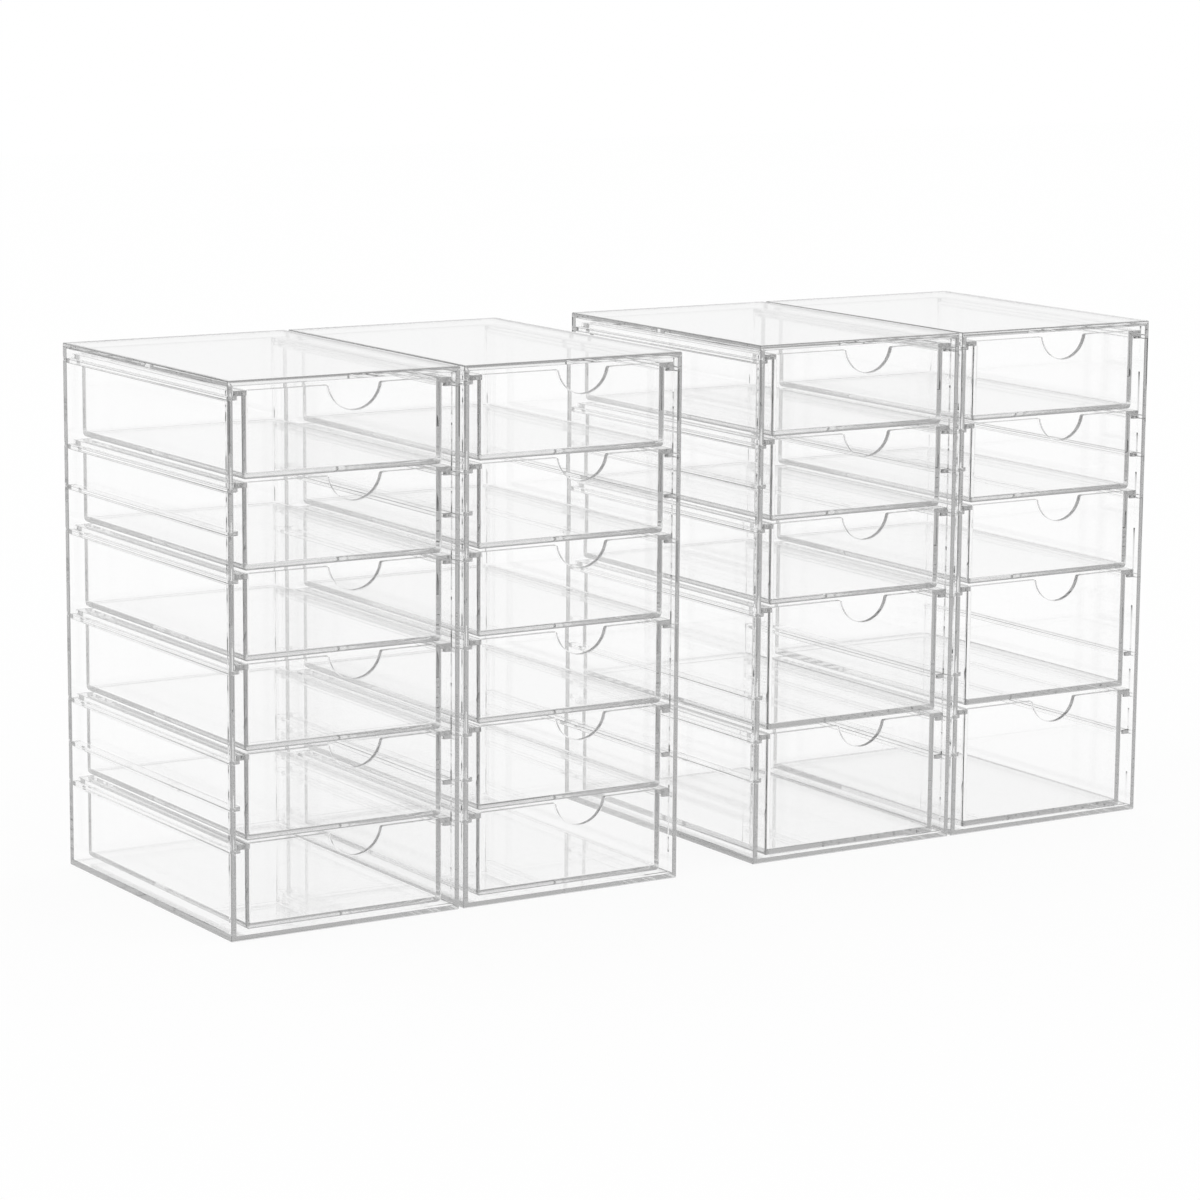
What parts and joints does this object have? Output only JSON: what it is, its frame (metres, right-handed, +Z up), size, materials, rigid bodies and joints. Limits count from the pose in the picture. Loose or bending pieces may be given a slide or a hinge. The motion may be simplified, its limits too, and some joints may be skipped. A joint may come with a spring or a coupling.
{
  "type": "craft stamp storage drawers",
  "caption": "Row of clear acrylic towers for craft stamps, each an open-fronted case with flanged drawers that hang on side rails and slide out by a finger notch.",
  "frame": {"origin": "centre of the row's footprint, on the surface it stands on", "axes": "+X along the row to the right seen from the front, -Y out of the fronts, +Z up"},
  "size_m": [0.6638, 0.2198, 0.3215],
  "materials": {
    "clear_case": "polished clear acrylic (PMMA), about 3 mm thick",
    "clear_drawer": "polished clear acrylic (PMMA), about 3 mm thick"
  },
  "bodies": {
    "tower_a": {"case_a": "clear_case"},
    "tower_b": {"case_b": "clear_case"},
    "tower_c": {"case_c": "clear_case"},
    "tower_d": {"case_d": "clear_case"},
    "drawer_a1": {"short_drawer_a1": "clear_drawer"},
    "drawer_a2": {"short_drawer_a2": "clear_drawer"},
    "drawer_a3": {"short_drawer_a3": "clear_drawer"},
    "drawer_a4": {"short_drawer_a4": "clear_drawer"},
    "drawer_a5": {"short_drawer_a5": "clear_drawer"},
    "drawer_a6": {"short_drawer_a6": "clear_drawer"},
    "drawer_b1": {"short_drawer_b1": "clear_drawer"},
    "drawer_b2": {"short_drawer_b2": "clear_drawer"},
    "drawer_b3": {"short_drawer_b3": "clear_drawer"},
    "drawer_b4": {"short_drawer_b4": "clear_drawer"},
    "drawer_b5": {"short_drawer_b5": "clear_drawer"},
    "drawer_b6": {"short_drawer_b6": "clear_drawer"},
    "drawer_c1": {"short_drawer_c1": "clear_drawer"},
    "drawer_c2": {"short_drawer_c2": "clear_drawer"},
    "drawer_c3": {"short_drawer_c3": "clear_drawer"},
    "drawer_c4": {"deep_drawer_c4": "clear_drawer"},
    "drawer_c5": {"deep_drawer_c5": "clear_drawer"},
    "drawer_d1": {"short_drawer_d1": "clear_drawer"},
    "drawer_d2": {"short_drawer_d2": "clear_drawer"},
    "drawer_d3": {"short_drawer_d3": "clear_drawer"},
    "drawer_d4": {"deep_drawer_d4": "clear_drawer"},
    "drawer_d5": {"deep_drawer_d5": "clear_drawer"}
  },
  "joints": [
    {"name": "tower_b_lift", "type": "slide", "parent": "tower_a", "child": "tower_b", "axis": [0, 0, 1], "range_m": [0, 0.34]},
    {"name": "tower_c_lift", "type": "slide", "parent": "tower_a", "child": "tower_c", "axis": [0, 0, 1], "range_m": [0, 0.34]},
    {"name": "tower_d_lift", "type": "slide", "parent": "tower_a", "child": "tower_d", "axis": [0, 0, 1], "range_m": [0, 0.34]},
    {"name": "drawer_a1_slide", "type": "slide", "parent": "tower_a", "child": "drawer_a1", "axis": [0, -1, 0], "range_m": [0, 0.15]},
    {"name": "drawer_a2_slide", "type": "slide", "parent": "tower_a", "child": "drawer_a2", "axis": [0, -1, 0], "range_m": [0, 0.15]},
    {"name": "drawer_a3_slide", "type": "slide", "parent": "tower_a", "child": "drawer_a3", "axis": [0, -1, 0], "range_m": [0, 0.15]},
    {"name": "drawer_a4_slide", "type": "slide", "parent": "tower_a", "child": "drawer_a4", "axis": [0, -1, 0], "range_m": [0, 0.15]},
    {"name": "drawer_a5_slide", "type": "slide", "parent": "tower_a", "child": "drawer_a5", "axis": [0, -1, 0], "range_m": [0, 0.15]},
    {"name": "drawer_a6_slide", "type": "slide", "parent": "tower_a", "child": "drawer_a6", "axis": [0, -1, 0], "range_m": [0, 0.15]},
    {"name": "drawer_b1_slide", "type": "slide", "parent": "tower_b", "child": "drawer_b1", "axis": [0, -1, 0], "range_m": [0, 0.15]},
    {"name": "drawer_b2_slide", "type": "slide", "parent": "tower_b", "child": "drawer_b2", "axis": [0, -1, 0], "range_m": [0, 0.15]},
    {"name": "drawer_b3_slide", "type": "slide", "parent": "tower_b", "child": "drawer_b3", "axis": [0, -1, 0], "range_m": [0, 0.15]},
    {"name": "drawer_b4_slide", "type": "slide", "parent": "tower_b", "child": "drawer_b4", "axis": [0, -1, 0], "range_m": [0, 0.15]},
    {"name": "drawer_b5_slide", "type": "slide", "parent": "tower_b", "child": "drawer_b5", "axis": [0, -1, 0], "range_m": [0, 0.15]},
    {"name": "drawer_b6_slide", "type": "slide", "parent": "tower_b", "child": "drawer_b6", "axis": [0, -1, 0], "range_m": [0, 0.15]},
    {"name": "drawer_c1_slide", "type": "slide", "parent": "tower_c", "child": "drawer_c1", "axis": [0, -1, 0], "range_m": [0, 0.15]},
    {"name": "drawer_c2_slide", "type": "slide", "parent": "tower_c", "child": "drawer_c2", "axis": [0, -1, 0], "range_m": [0, 0.15]},
    {"name": "drawer_c3_slide", "type": "slide", "parent": "tower_c", "child": "drawer_c3", "axis": [0, -1, 0], "range_m": [0, 0.15]},
    {"name": "drawer_c4_slide", "type": "slide", "parent": "tower_c", "child": "drawer_c4", "axis": [0, -1, 0], "range_m": [0, 0.15]},
    {"name": "drawer_c5_slide", "type": "slide", "parent": "tower_c", "child": "drawer_c5", "axis": [0, -1, 0], "range_m": [0, 0.15]},
    {"name": "drawer_d1_slide", "type": "slide", "parent": "tower_d", "child": "drawer_d1", "axis": [0, -1, 0], "range_m": [0, 0.15]},
    {"name": "drawer_d2_slide", "type": "slide", "parent": "tower_d", "child": "drawer_d2", "axis": [0, -1, 0], "range_m": [0, 0.15]},
    {"name": "drawer_d3_slide", "type": "slide", "parent": "tower_d", "child": "drawer_d3", "axis": [0, -1, 0], "range_m": [0, 0.15]},
    {"name": "drawer_d4_slide", "type": "slide", "parent": "tower_d", "child": "drawer_d4", "axis": [0, -1, 0], "range_m": [0, 0.15]},
    {"name": "drawer_d5_slide", "type": "slide", "parent": "tower_d", "child": "drawer_d5", "axis": [0, -1, 0], "range_m": [0, 0.15]}
  ]
}
